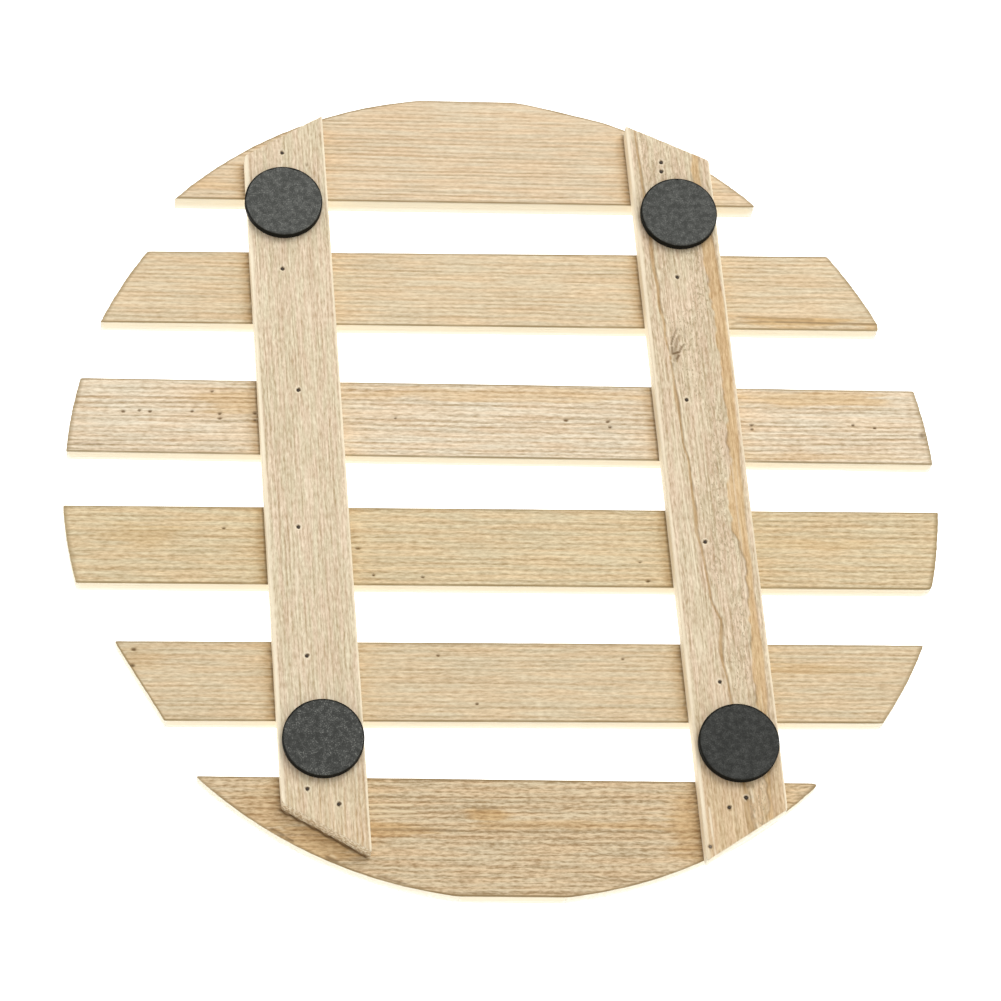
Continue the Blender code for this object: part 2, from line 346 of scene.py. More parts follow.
def into_mesh(name, grid, depth, layers):
    """Mesh of a board: every point is pushed in by its depth, then turned and set in place."""
    board = grid.board
    place = np.stack((grid.along, grid.across, grid.up + board.base), axis=-1)
    place = place - grid.out * depth[..., None]
    turn = np.radians(board.turn)
    x = board.x + place[..., 0] * np.cos(turn) - place[..., 1] * np.sin(turn)
    y = board.y + place[..., 0] * np.sin(turn) + place[..., 1] * np.cos(turn)
    points = np.stack((x, y, place[..., 2]), axis=-1).reshape(-1, 3) * MM

    rows, columns = grid.along.shape
    number = np.arange(rows * columns).reshape(rows, columns)
    mirror = np.minimum(np.arange(columns), columns - np.arange(columns))
    number[[0, -1]] = number[[0, -1]][:, mirror]
    here = number[:-1]
    above = number[1:]
    cells = np.stack((here, above, np.roll(above, -1, axis=1), np.roll(here, -1, axis=1)), axis=-1)
    used, faces = np.unique(cells.reshape(-1, 4), return_inverse=True)
    faces = faces.reshape(-1, 4)

    mesh = bpy.data.meshes.new(name)
    mesh.from_pydata(points[used], [], faces)
    mesh.shade_smooth()
    for label, values in layers.items():
        layer = mesh.attributes.new(label, "FLOAT", "POINT")
        layer.data.foreach_set("value", values.ravel()[used].astype(np.float32))

    welded = bmesh.new()
    welded.from_mesh(mesh)
    bmesh.ops.remove_doubles(welded, verts=welded.verts, dist=WELD)
    welded.to_mesh(mesh)
    welded.free()
    return mesh


def put_in_scene(name, mesh, material, slot, *replaced):
    """Object at the origin that rides on the part and stands for the CAD nodes named."""
    thing = link(name, mesh)
    mesh.materials.append(material)
    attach(thing, "root")
    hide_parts(*replaced)
    return thing


# %% [markdown]
# ## Shader maths that reads like maths
#
# A node tree is easier to read as sums. A Wire holds one socket, and an operator on it adds the
# Math node that does the sum. Any other node comes from Recipe.add: its type, its settings, then
# the values or wires for its sockets.

# %% Wires and recipes
class Wire:
    """A socket that can stand in a sum."""

    def __init__(self, recipe, socket):
        self.recipe = recipe
        self.socket = socket

    def sum(self, operation, first, second):
        return self.recipe.add("ShaderNodeMath", {"operation": operation}, {0: first, 1: second})

    def __add__(self, other):
        return self.sum("ADD", self, other)

    def __radd__(self, other):
        return self.sum("ADD", other, self)

    def __sub__(self, other):
        return self.sum("SUBTRACT", self, other)

    def __rsub__(self, other):
        return self.sum("SUBTRACT", other, self)

    def __mul__(self, other):
        return self.sum("MULTIPLY", self, other)

    def __rmul__(self, other):
        return self.sum("MULTIPLY", other, self)

    def __truediv__(self, other):
        return self.sum("DIVIDE", self, other)


class Recipe:
    """A material's node tree, which ends in one Principled BSDF."""

    def __init__(self, name):
        self.material = bpy.data.materials.new(name)
        self.material.use_nodes = True
        self.tree = self.material.node_tree
        self.tree.nodes.clear()
        self.shader = self.tree.nodes.new("ShaderNodeBsdfPrincipled")
        surface = self.tree.nodes.new("ShaderNodeOutputMaterial")
        self.tree.links.new(self.shader.outputs[0], surface.inputs["Surface"])

    def fill(self, node, inputs):
        """Give each named or numbered socket its value or its wire."""
        for key, value in inputs.items():
            if isinstance(value, Wire):
                self.tree.links.new(value.socket, node.inputs[key])
            else:
                node.inputs[key].default_value = value

    def add(self, kind, settings, inputs, output=0):
        """Add a node: settings first, then its inputs. Returns one output as a Wire."""
        node = self.tree.nodes.new(kind)
        for key, value in settings.items():
            setattr(node, key, value)
        self.fill(node, inputs)
        return Wire(self, node.outputs[output])

    def ramp(self, wire, low, high):
        """0 where the wire is under low, 1 over high, softly between."""
        return self.add(
            "ShaderNodeMapRange",
            {"interpolation_type": "SMOOTHSTEP"},
            {"Value": wire, "From Min": low, "From Max": high},
        )

    def blend(self, factor, first, second):
        """Mix of two colours."""
        return self.add(
            "ShaderNodeMix",
            {"data_type": "RGBA"},
            {0: factor, 6: first, 7: second},
            output=2,
        )

    def layer(self, name):
        """A value kept on the mesh's points."""
        return self.add("ShaderNodeAttribute", {"attribute_name": name}, {}, output="Fac")

    def noise(self, place, stretch, detail=2.0, roughness=0.5):
        """Noise, about 0 to 1, whose features are as long as stretch says, in millimetres."""
        scale = tuple(1.0 / (length * MM) for length in stretch)
        spread = self.add(
            "ShaderNodeVectorMath", {"operation": "MULTIPLY"}, {0: place, 1: scale}
        )
        inputs = {"Vector": spread, "Scale": 1.0, "Detail": detail, "Roughness": roughness}
        return self.add("ShaderNodeTexNoise", {}, inputs)


def shade(colour, factor):
    """A colour made lighter or darker, with its alpha."""
    red, green, blue = factor
    return (colour[0] * red, colour[1] * green, colour[2] * blue, 1.0)


# %% [markdown]
# ## Bamboo
#
# Bamboo has no growth rings. Its stem is a bundle of hard pale fibres in a softer, tanner matrix,
# so a planed strip shows straight lines, pale and tan, a millimetre or less apart, and a sawn end
# shows the same fibres as dots. One solid noise, drawn out along the fibres, gives both: lines on
# the faces and sides and dots on the ends. It is read in the board's own direction, and a slow
# noise bends the lines a little. The brown of the stem's inner skin, stains and pits come from the
# values that the mesh keeps, and so do the painted light and shade: a painted glow on the sides,
# painted highlights, and painted shade and contact shadows beside the battens.

# %% Bamboo material
DARK_FIBRE = (0.60, 0.51, 0.40)
PALE_FIBRE = (1.25, 1.29, 1.40)
DARK_SKIN_AND_SHADE = (0.66, 0.45, 0.24)
PALE_SKIN_AND_SHADE = (1.08, 0.90, 0.62)
RIM_LINE = (0.46, 0.40, 0.28)
PIT_AND_SHADOW_BROWN = (0.27, 0.20, 0.12)
CRUMB_GREY = (0.60, 0.56, 0.48)
PALE_MARK_AND_HIGHLIGHT = (1.30, 1.37, 1.48)
SIDE_CREAM = (0.78, 0.69, 0.51, 1.0)
SIDE_GLARE = (0.83, 0.79, 0.66, 1.0)
END_GLARE = (0.90, 0.89, 0.83, 1.0)
LAYERS = ("furrow", "skin_and_shade", "dark", "pale", "rim", "side", "sawn", "crumb")
Grain = namedtuple(
    "Grain", "contrast run lines hair_run hairs dashes broad furrow hue_run warm cool"
)
SLAT_GRAIN = Grain(
    1.0, 60.0, 0.40, 12.0, 0.66, 1.15, 0.15, 0.54, 14.0, (1.035, 0.98, 0.94), (0.98, 1.01, 1.04)
)
BATTEN_GRAIN = Grain(
    0.9, 30.0, 0.45, 9.0, 0.85, 1.45, 0.20, 0.30, 8.0, (1.025, 0.983, 0.985), (0.98, 1.01, 0.98)
)


def bamboo(name, tint, turn, grain):
    """Material of one board: tint is its colour, and grain says how strong each noise is."""
    wood = Recipe(name)
    place = wood.add("ShaderNodeTexCoord", {}, {}, output="Object")
    spin = (0.0, 0.0, -np.radians(turn))
    place = wood.add("ShaderNodeMapping", {}, {"Vector": place, "Rotation": spin})

    # Bend the lines: push the place sideways by about 0.1 mm, slowly along the fibres
    bend = wood.noise(place, (7.0, 3.0, 3.0)) - 0.5
    push = wood.add("ShaderNodeCombineXYZ", {}, {"Y": bend * (0.4 * MM)})
    bent = wood.add("ShaderNodeVectorMath", {"operation": "ADD"}, {0: place, 1: push})

    lines = wood.noise(bent, (grain.run, 0.45, 0.45), detail=1.0) - 0.5
    hairs = wood.noise(bent, (grain.hair_run, 0.20, 0.20), detail=1.0) - 0.5
    dashes = wood.noise(bent, (1.5, 0.40, 0.40), detail=2.0, roughness=0.6) - 0.5
    broad = wood.noise(place, (45.0, 3.5, 3.5), detail=1.0) - 0.5
    hue = wood.ramp(wood.noise(place, (grain.hue_run, 1.2, 1.2), detail=1.0), 0.30, 0.70)
    furrow, skin_and_shade, dark, pale, rim, side, sawn, crumb = [wood.layer(kept) for kept in LAYERS]

    # How pale the wood is, from 0 to 1, and darker in the mesh's furrows
    tone = lines * grain.lines + hairs * grain.hairs + dashes * grain.dashes + broad * grain.broad
    tone = (tone - (furrow - 0.35) * grain.furrow) * grain.contrast + 0.5
    tone = wood.add("ShaderNodeClamp", {}, {"Value": tone})
    colour = wood.blend(tone, shade(tint, DARK_FIBRE), shade(tint, PALE_FIBRE))
    cast = wood.blend(hue, shade(grain.warm, (1.0, 1.0, 1.0)), shade(grain.cool, (1.0, 1.0, 1.0)))
    colour = wood.add(
        "ShaderNodeMix",
        {"data_type": "RGBA", "blend_type": "MULTIPLY"},
        {0: 1.0, 6: colour, 7: cast},
        output=2,
    )
    brown = wood.blend(tone, shade(tint, DARK_SKIN_AND_SHADE), shade(tint, PALE_SKIN_AND_SHADE))
    colour = wood.blend(skin_and_shade, colour, brown)

    # Painted glow: the sides are painted cream to near white, as if burnt out by the light table,
    # and a sawn end shows the fibres as dots
    colour = wood.blend(wood.ramp(side, 0.0, 0.75), colour, SIDE_CREAM)
    colour = wood.blend(wood.ramp(side, 0.75, 1.0), colour, SIDE_GLARE)
    colour = wood.blend(wood.ramp(side, 1.0, 1.3), colour, END_GLARE)
    dots = wood.ramp(wood.noise(place, (0.7, 0.60, 0.60), detail=2.0), 0.44, 0.56)
    colour = wood.blend(sawn * (1.0 - dots), colour, shade(tint, DARK_FIBRE))
    crumbs = wood.ramp(wood.noise(bent, (0.9, 0.42, 0.42), detail=2.0, roughness=0.7), 0.50, 0.68)
    colour = wood.blend(crumb * crumbs, colour, shade(tint, CRUMB_GREY))
    # Painted highlights, then the dark edge lines, then pits, cracks and painted contact shadows
    colour = wood.blend(pale, colour, shade(tint, PALE_MARK_AND_HIGHLIGHT))
    colour = wood.blend(rim, colour, shade(tint, RIM_LINE))
    colour = wood.blend(dark, colour, shade(tint, PIT_AND_SHADOW_BROWN))

    relief = hairs * 0.5 + lines * 0.5 + dashes * 0.5
    bump = wood.add(
        "ShaderNodeBump",
        {},
        {"Strength": 0.8, "Distance": 0.15 * MM, "Height": relief},
    )
    wood.fill(
        wood.shader, {"Base Color": colour, "Roughness": 0.62 + lines * 0.3, "Normal": bump}
    )
    wood.shader.inputs["Specular IOR Level"].default_value = 0.35
    return wood.material


# %% [markdown]
# ## The slats
#
# A planer's knife tears bamboo a little wherever the fibres dip, so a slat's face is full of long
# furrows a few hundredths of a millimetre deep. They are the same lattice noise, drawn out along
# the board. Pits are where a fibre bundle has dropped out. Bands of brown are what is left of the
# stem's inner skin, except two brown patches under the left batten's near end, which are painted
# shadow. Beside each batten's left edge the slats get painted shade and a painted contact line.
# Each slat differs, so its own marks are listed in millimetres.

# %% Furrows
def furrows(along, across, pitch, run, seed):
    """Furrows from 0 to 1, about a pitch apart, which wander, fade out and come back.

    Across the board they follow 0.5 + 0.5 sin(2 pi (across + drift) / pitch)."""
    drift = 0.9 * pitch * lattice(along / 45.0, across / (2.5 * pitch), seed + 1)
    drift = drift + 0.18 * pitch * lattice(along / 4.0, across / (3.0 * pitch), seed + 2)
    wave = 0.5 + 0.5 * np.sin(2.0 * np.pi * (across + drift) / pitch)
    keep = lattice(along / run, across / (0.9 * pitch), seed + 3)
    broken = lattice(along / 3.5, across / (0.6 * pitch), seed + 4)
    return wave**1.4 * ease(-0.1, 0.95, 0.65 * keep + 0.35 * broken)


# %% Marks on the slats
# contrast and dashes are for the grain, depth and pitch for the furrows, and flare is how far
# the low side leans out at its bottom
Slat = namedtuple("Slat", "node tint contrast dashes depth pitch flare slot")
SLATS = (
    Slat("slat_1", (0.75, 0.605, 0.395), 0.97, 0.90, 0.10, 0.92, 0.50, "slat_bamboo"),
    Slat("slat_2", (0.745, 0.605, 0.385), 0.88, 1.25, 0.09, 0.98, 0.10, "slat_bamboo"),
    Slat("slat_3", (0.755, 0.63, 0.435), 1.28, 1.20, 0.13, 1.05, 0.05, "slat_bamboo"),
    Slat("slat_4", (0.705, 0.57, 0.34), 0.92, 1.60, 0.09, 1.12, 0.05, "slat_bamboo"),
    Slat("slat_5", (0.71, 0.575, 0.36), 0.80, 1.60, 0.08, 1.00, 0.05, "slat_bamboo"),
    Slat("slat_6", (0.62, 0.48, 0.285), 1.38, 1.80, 0.13, 1.15, 0.04, "slat_bamboo_brown"),
)


def marks(kind, **rows_of):
    """Marks of one kind, from rows of numbers under the name of the board that they are on."""
    return [kind(board, *row) for board, rows in rows_of.items() for row in rows]


Pit = namedtuple("Pit", "node along across radius")
PITS = marks(
    Pit,
    slat_3=(
        (-76.9, 14.6, 0.35), (-73.6, 14.8, 0.30), (-71.5, 14.7, 0.35), (-63.0, 14.8, 0.30),
        (-59.0, 19.4, 0.30), (-57.4, 14.4, 0.40), (-57.4, 13.3, 0.40), (-50.3, 14.5, 0.40),
        (-50.3, 13.0, 0.30), (-21.8, 13.9, 0.25), (13.1, 13.9, 0.40), (21.7, 13.8, 0.40),
        (22.1, 12.5, 0.35), (51.4, 13.4, 0.35), (51.4, 12.5, 0.30), (72.5, 13.7, 0.30),
        (77.0, 13.1, 0.30),
    ),
    slat_4=(
        (28.2, -21.7, 0.40), (26.8, -17.6, 0.30), (-30.0, -15.2, 0.40), (-26.9, -21.0, 0.30),
        (-17.1, -21.3, 0.30), (-56.7, -11.1, 0.35),
    ),
    slat_5=(
        (-74.4, -37.4, 0.45), (-74.7, -40.8, 0.40), (-14.5, -38.2, 0.35), (22.3, -38.7, 0.30),
        (-7.1, -48.5, 0.30),
    ),
)

Stain = namedtuple("Stain", "node along across half_length half_width strength")
STAINS = marks(
    Stain,
    slat_1=(
        (-67.0, 67.5, 16.0, 1.4, 0.35),
    ),
    slat_2=(
        (64.0, 37.4, 17.0, 1.3, 0.75), (78.0, 36.5, 2.0, 1.0, 0.45),
    ),
    slat_3=(
        (0.0, 19.6, 34.0, 1.8, 0.45), (63.0, 19.4, 18.0, 1.8, 0.60),
        (-54.0, 17.0, 8.0, 3.0, 0.50), (60.0, 6.4, 26.0, 0.9, 0.35),
    ),
    slat_4=(
        (-72.0, -12.6, 9.0, 2.6, 0.35), (64.0, -13.4, 14.0, 1.4, 0.30),
    ),
    slat_5=(
        (60.0, -40.7, 13.0, 1.3, 0.45), (-74.0, -39.5, 5.0, 3.0, 0.25),
        (-78.0, -41.5, 2.5, 1.2, 0.45), (-75.5, -47.0, 2.5, 1.0, 0.45),
    ),
    slat_6=(
        (-5.9, -71.6, 4.2, 1.9, 0.75), (-34.0, -75.0, 19.0, 1.6, 0.60),
        (12.0, -73.8, 22.0, 1.0, 0.45), (33.5, -74.0, 5.0, 7.0, 0.55),
        # Painted shadow of the left batten's near end: the two patches on the next line
        (-48.0, -70.0, 9.0, 4.0, 0.30), (-39.0, -78.5, 9.5, 4.2, 0.60),
    ),
)
print(len(SLATS), "slats,", len(PITS), "pits,", len(STAINS), "stains")


# %% Carve and stain
# A stroke is a crack, a fibre's shadow, or a painted contact shadow beside a batten: it runs from
# one place to another, in the board's own frame
Stroke = namedtuple("Stroke", "node along across to_along to_across half_width strength")
STROKES = marks(
    Stroke,
    slat_2=(
        (50.0, 38.3, 66.0, 38.0, 0.22, 0.45), (58.0, 37.3, 79.0, 37.1, 0.25, 0.65),
        (49.6, 36.9, 57.0, 37.3, 0.22, 0.50),
    ),
    slat_3=(
        (86.2, 12.3, 87.4, 10.4, 0.28, 0.75), (-86.0, 7.4, -81.0, 7.2, 0.20, 0.35),
    ),
    slat_6=(
        (-7.5, -70.6, -4.2, -70.2, 0.35, 0.40), (-33.0, -74.6, -12.0, -74.9, 0.30, 0.35),
        # Painted contact shadow along the foot of the left batten's near end, first on the next
        # line
        (-46.0, -70.9, -29.6, -80.5, 0.26, 1.00), (-47.7, -74.7, -45.5, -76.0, 0.26, 0.60),
        (-44.9, -76.5, -43.6, -77.2, 0.20, 0.65), (-37.3, -80.4, -35.2, -81.4, 0.26, 0.65),
        (-27.0, -84.4, -22.0, -85.9, 0.18, 0.45),
    ),
    batten_right=(
        (-28.6, -3.2, -30.9, -2.9, 0.70, 0.30), (-27.0, -3.5, -28.2, -3.3, 0.50, 0.45),
        (-28.5, -3.9, -29.9, -3.9, 0.28, 0.80), (-28.5, -3.8, -28.8, -2.7, 0.26, 1.00),
        (-29.2, -3.4, -31.9, -2.6, 0.24, 0.60), (-31.9, -2.6, -32.6, -2.0, 0.20, 0.45),
        (-30.6, -4.0, -32.3, -3.4, 0.20, 0.80), (-32.3, -3.4, -34.1, -2.5, 0.20, 0.55),
        (-28.7, -2.5, -30.0, -1.9, 0.20, 0.75), (-30.0, -1.9, -30.5, -1.2, 0.18, 0.55),
        (-27.3, -3.2, -28.0, -2.7, 0.26, 0.90), (-25.8, -4.1, -26.2, -4.1, 0.25, 0.55),
        (-31.2, -1.0, -34.6, -1.0, 0.20, 0.35), (66.4, 1.1, 66.7, 1.1, 0.25, 0.50),
        (66.3, 2.2, 66.6, 2.2, 0.25, 0.50),
    ),
    batten_left=(
        (-70.6, 4.5, -70.9, 4.5, 0.25, 0.60),
    ),
)

# Painted highlights: long fibres that lifted and catch the light
PALE_STROKES = marks(
    Stroke,
    slat_6=(
        (-46.5, -74.4, -45.5, -75.0, 0.24, 0.60), (-36.4, -80.0, -35.4, -80.6, 0.24, 0.60),
        (-29.5, -69.6, -20.5, -69.7, 0.16, 0.95), (-29.3, -71.0, -20.0, -71.1, 0.18, 1.00),
        (-29.2, -72.1, -20.3, -72.0, 0.16, 0.85),
    ),
    batten_right=(
        (-28.2, -4.5, -30.4, -4.4, 0.18, 0.70), (-29.2, -2.9, -31.0, -2.2, 0.14, 0.70),
        (-25.6, -3.9, -27.0, -4.3, 0.18, 0.60), (70.5, -7.0, 76.5, -6.9, 0.18, 0.80),
        (76.5, -6.9, 81.0, -6.7, 0.14, 0.60), (-9.0, -5.3, 6.0, -4.9, 0.12, 0.75),
        (6.0, -4.9, 24.0, -4.1, 0.12, 0.85),
    ),
)


def struck(grid, strokes):
    """How strong the strokes are at each point: most at a stroke's middle, 0 past its edge."""
    dark = np.zeros_like(grid.along)
    for stroke in strokes:
        if stroke.node == grid.board.node:
            run = stroke.to_along - stroke.along
            rise = stroke.to_across - stroke.across
            share = (grid.along - stroke.along) * run + (grid.across - stroke.across) * rise
            share = np.clip(share / (run**2 + rise**2), 0.0, 1.0)
            u = grid.along - stroke.along - share * run
            v = grid.across - stroke.across - share * rise
            near = ease(1.5 * stroke.half_width, 0.5 * stroke.half_width, np.hypot(u, v))
            dark = np.maximum(dark, stroke.strength * near)
    return dark


def stained(grid, seed):
    """How brown each point is: soft ovals, drawn out and torn along the fibres by noise."""
    torn = lattice(grid.along / 6.0, grid.across / 0.5, seed) - 0.5
    brown = np.zeros_like(grid.along)
    for stain in STAINS:
        if stain.node == grid.board.node:
            u = (grid.along - stain.along) / stain.half_length
            v = (grid.across - stain.across) / stain.half_width
            inside = ease(1.25, 0.55, np.hypot(u, v) + 0.9 * torn)
            brown = np.maximum(brown, stain.strength * inside)
    return brown


def pitted(grid, seed):
    """How deep in a pit each point is: torn ovals, from 0 at their edge to 1."""
    torn = 0.45 * (lattice(grid.along / 0.5, grid.across / 0.3, seed) - 0.5)
    hole = np.zeros_like(grid.along)
    for pit in PITS:
        if pit.node == grid.board.node:
            u = (grid.along - pit.along) / (1.6 * pit.radius)
            v = (grid.across - pit.across) / pit.radius
            hole = np.maximum(hole, ease(1.15, 0.2, np.hypot(u, v) + torn))
    return hole


def carve(grid, depth, pitch, run, seed):
    """Depth of the furrows on a board's faces and sides, and the roughness of its sawn ends."""
    line = grid.across + np.where(grid.under, 40.0, 0.0) + grid.up * (~(grid.face | grid.under))
    furrow = furrows(grid.along, line, pitch, run, seed)
    swell = lattice(grid.along / 30.0, grid.across / 5.0, seed + 9)
    saw = lattice(grid.across / 0.5, grid.up / 0.45, seed + 12)
    cut = np.abs(grid.end)
    depth_here = (depth * furrow + 0.04 * swell) * (1.0 - cut) + 0.12 * saw * cut
    worn = 0.05 * lattice(grid.along / 2.5, grid.across / 2.5, seed + 15) * ease(1.2, 0.2, grid.rim)
    return depth_here + worn, furrow


def layers_of(grid, furrow, skin_and_shade, dark, pale, crumb, dots):
    """Values that the bamboo material reads. dots says how plain the fibres are on sawn ends."""
    upright = ease(0.35, 0.85, np.hypot(grid.out[..., 0], grid.out[..., 1]))
    cut = np.abs(grid.end)
    # Painted glow from the light table: the sides are paler low down, near the table, and less so
    # where they face the far side
    away = ease(0.2, 0.6, grid.out[..., 1]) * (1.0 - cut)
    painted_glow = 0.72 + 0.28 * ease(2.4, 0.3, grid.up) * (1.0 - away)
    return {
        "furrow": furrow * (0.25 + 0.75 * grid.face),
        "skin_and_shade": skin_and_shade * grid.face,
        "dark": dark * grid.face,
        "pale": pale * (grid.out[..., 2] > -0.2),
        "rim": 0.0 * furrow,
        "side": upright * painted_glow * (1.0 + (0.35 - 1.1 * dots) * cut),
        "sawn": dots * cut,
        "crumb": crumb * grid.face,
    }


def from_edges(grid):
    """Distance of each point from the low long edge and from the high one."""
    from_low = grid.across - grid.low.height - grid.low.slope * grid.along
    from_high = grid.high.height + grid.high.slope * grid.along - grid.across
    return from_low, from_high


def rim_line(grid, seed):
    """How dark the face is along its edges: most at the low edge."""
    from_low, from_high = from_edges(grid)
    vary = 0.7 + 0.5 * lattice(grid.along / 5.0, 0.0 * grid.along, seed)
    low = ease(0.62, 0.35, from_low) * ease(0.02, 0.14, from_low)
    high = 0.45 * ease(0.45, 0.25, from_high)
    ends = 0.8 * ease(0.60, 0.30, grid.rim) * ease(0.02, 0.12, grid.rim)
    line = np.maximum(np.maximum(low, high), ends) * vary
    return np.clip(line, 0.0, 0.95) * (grid.out[..., 2] > 0.3)


# %% Build the slats
SLAT_THICKNESS = 3.7
SLAT_ARRIS = 0.20
SLAT_DOTS = 0.12
SLAT_STEP = 0.95

# Each batten's place, its colour, its looks, and its left edge: half its width and how far it
# runs. dots says how plain the fibres are on its sawn ends.
Batten = namedtuple("Batten", "node x y turn tint contrast pitch half_width near far dots")
LEFT_TINT = (0.76, 0.635, 0.44)
RIGHT_TINT = (0.73, 0.60, 0.41)
BATTENS = (
    Batten("batten_left", -40.65, -0.68, -87.446, LEFT_TINT, 1.00, 0.78, 8.45, -70.8, 72.1, 0.85),
    Batten("batten_right", 40.6, -0.68, -87.069, RIGHT_TINT, 1.10, 0.85, 8.55, -82.6, 81.4, 0.15),
)
FAR_AWAY = 50.0


def left_edge(batten, across):
    """Where a batten's left edge lies at a height across the slats."""
    slope = 1.0 / np.tan(np.radians(batten.turn))
    return batten.x + slope * (across - batten.y) - batten.half_width


def beside_battens(along, across):
    """Distance from the slat's points to the nearest batten's left edge, on its left side."""
    near = np.full_like(along, FAR_AWAY)
    for batten in BATTENS:
        gap = left_edge(batten, across) - along
        beside = (gap > -0.5) & (gap < near) & (across > batten.near) & (across < batten.far)
        near = np.where(beside, gap, near)
    return near


for count, slat in enumerate(SLATS):
    board = Board(slat.node, 0.0, 0.0, 0.0, 0.0, SLAT_THICKNESS, SLAT_ARRIS, SLAT_STEP)
    low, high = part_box(slat.node)
    middle = (low.y + high.y) / 2.0 / MM
    small = [(pit.along, pit.across) for pit in PITS if pit.node == slat.node]
    small += [(left_edge(batten, middle), middle) for batten in BATTENS]
    grid = lay_board(board, small)

    # The low side leans out towards the table
    from_low, from_high = from_edges(grid)
    flare = slat.flare * (1.0 - grid.up / SLAT_THICKNESS) * ease(2.5, 0.0, from_low)
    grid = grid._replace(across=grid.across - flare)
    seed = 100 * (count + 1)
    depth, furrow = carve(grid, slat.depth, slat.pitch, 40.0, seed)
    pit = pitted(grid, seed + 30) * grid.face
    gap = beside_battens(grid.along, grid.across)
    # Painted shade beside each batten's left edge: a browner band, up to 2.6 mm wide, kept with the
    # stains
    shade_line = 0.45 * ease(2.6, 0.2, gap) * (0.5 + furrow)
    stain = np.clip(np.maximum(stained(grid, seed + 20), shade_line), 0.0, 1.0)
    # Pits and strokes, and a painted contact shadow right at each batten's left edge
    dark = np.maximum(np.maximum(pit, struck(grid, STROKES)), 0.55 * ease(0.5, 0.1, gap))
    depth = depth + 0.35 * pit
    pale = struck(grid, PALE_STROKES)
    layers = layers_of(grid, furrow, stain, dark, pale, 0.0 * pale, SLAT_DOTS)
    layers["rim"] = rim_line(grid, seed + 40)
    mesh = into_mesh(slat.node + "_planed", grid, depth, layers)
    grain = SLAT_GRAIN._replace(contrast=slat.contrast, dashes=slat.dashes)
    finish = bamboo(slat.node + "_bamboo", slat.tint, 0.0, grain)
    put_in_scene(slat.node + "_planed", mesh, finish, slat.slot, slat.node)
    print(slat.node, len(mesh.vertices), "points")

# %% [markdown]
# ## The battens
#
# The battens are cut the same way and lie across the slats. The left one is even and pale. The
# right one comes from nearer the inner skin: a pitted pale strip runs down its middle, between a
# brown groove on its left and a lower brown terrace on its right, both with ragged edges, and it
# has one small knot. Each nail has bruised the wood around its head, with a painted highlight ring
# round that, and both long arrises carry painted highlights.

# %% Batten marks
BATTEN_TOP = 7.6
BATTEN_BASE = 3.72
BATTEN_ARRIS = 0.32
BATTEN_STEP = 0.6

# The brown groove and the brown terrace of the right batten, by stations down its length:
# along, the groove's middle, the terrace's left edge and its right edge, all in millimetres
STATIONS = (
    (-84.0, -6.6, 4.9, 6.7), (-70.0, -6.3, 4.4, 6.4), (-52.6, -5.9, 4.4, 7.7),
    (-38.0, -5.3, 5.5, 8.3), (-28.0, -4.6, 5.6, 8.3), (-14.7, -4.0, 5.7, 8.0),
    (-4.2, -3.4, 5.2, 7.7), (4.7, -3.1, 3.6, 7.5), (11.6, -3.2, 4.0, 7.3),
    (18.6, -2.5, 5.8, 7.6), (26.5, -1.9, 5.3, 7.2), (31.0, -0.5, 5.2, 7.4),
    (38.4, -0.9, 5.2, 7.6), (47.2, -0.2, 4.6, 7.4), (66.0, 0.5, 4.8, 6.0), (84.0, 1.1, 4.3, 5.4),
)


def trace(grid, centre, half_width):
    """How near each point is to a line that runs down the board: 1 on it, 0 past its width."""
    return ease(half_width + 0.15, 0.4 * half_width, np.abs(grid.across - centre))


def batten_marks(grid, seed):
    """Skin, depth, dark lines, pale fibres and crumbs of the right batten's face."""
    stations = np.array(STATIONS)
    still = 0.0 * grid.along
    wander = 0.5 * (lattice(grid.along / 4.0, still, seed) - 0.5)
    ragged = wander + 0.8 * (lattice(grid.along / 1.3, still, seed + 1) - 0.5)
    groove = np.interp(grid.along, stations[:, 0], stations[:, 1]) + wander
    left = np.interp(grid.along, stations[:, 0], stations[:, 2]) + ragged
    right = np.interp(grid.along, stations[:, 0], stations[:, 3]) - 0.5 * wander
    vary = lattice(grid.along / 9.0, still, seed + 2)
    notch = lattice(grid.along / 1.1, grid.across / 0.6, seed + 7)

    # The groove: a thin brown line, wider in places, with a dark right edge and a pale lip
    half = 0.12 + 0.45 * vary**2 + 0.65 * ease(64.0, 72.0, grid.along)
    in_groove = trace(grid, groove, half)
    shadow = trace(grid, groove + half, 0.12) * ease(0.25, 0.7, notch)
    lip = trace(grid, groove + half + 0.45, 0.22) * ease(0.35, 0.8, notch)

    # The terrace: lower than the face, with a dark peeled lip on its left
    step = grid.across - left
    in_terrace = ease(0.0, 0.25, step) * ease(0.0, 0.5, right - grid.across)
    broken = ease(0.35, 0.8, lattice(grid.along / 3.0, still, seed + 6))
    peeled = ease(0.45, 0.08, np.abs(step - 0.15)) * broken
    middle = ease(0.2, 0.8, grid.across - groove) * ease(0.2, 0.8, left - grid.across)
    patches = ease(0.30, 0.75, lattice(grid.along / 7.0, grid.across / 3.0, seed + 4))
    crumbs = lattice(grid.along / 0.8, grid.across / 0.6, seed + 3) * patches

    # Browner towards the near end
    near_end = 0.45 * ease(35.0, 80.0, grid.along)
    skin_and_shade = np.maximum(np.maximum(0.75 * in_groove, 0.72 * in_terrace), near_end)
    depth = 0.20 * in_groove + 0.16 * in_terrace + 0.16 * crumbs * middle
    dark = np.maximum(0.50 * shadow, np.maximum(0.50 * peeled, 0.26 * in_groove))
    pale = 0.60 * lip
    return skin_and_shade, depth, dark, pale, middle * (0.25 + 0.75 * patches)


# %% Build the battens
NAIL_BRUISE = 0.62
KNOT_ROWS = (-26.0, -27.4, -28.8, -30.2, -31.6, -33.0)

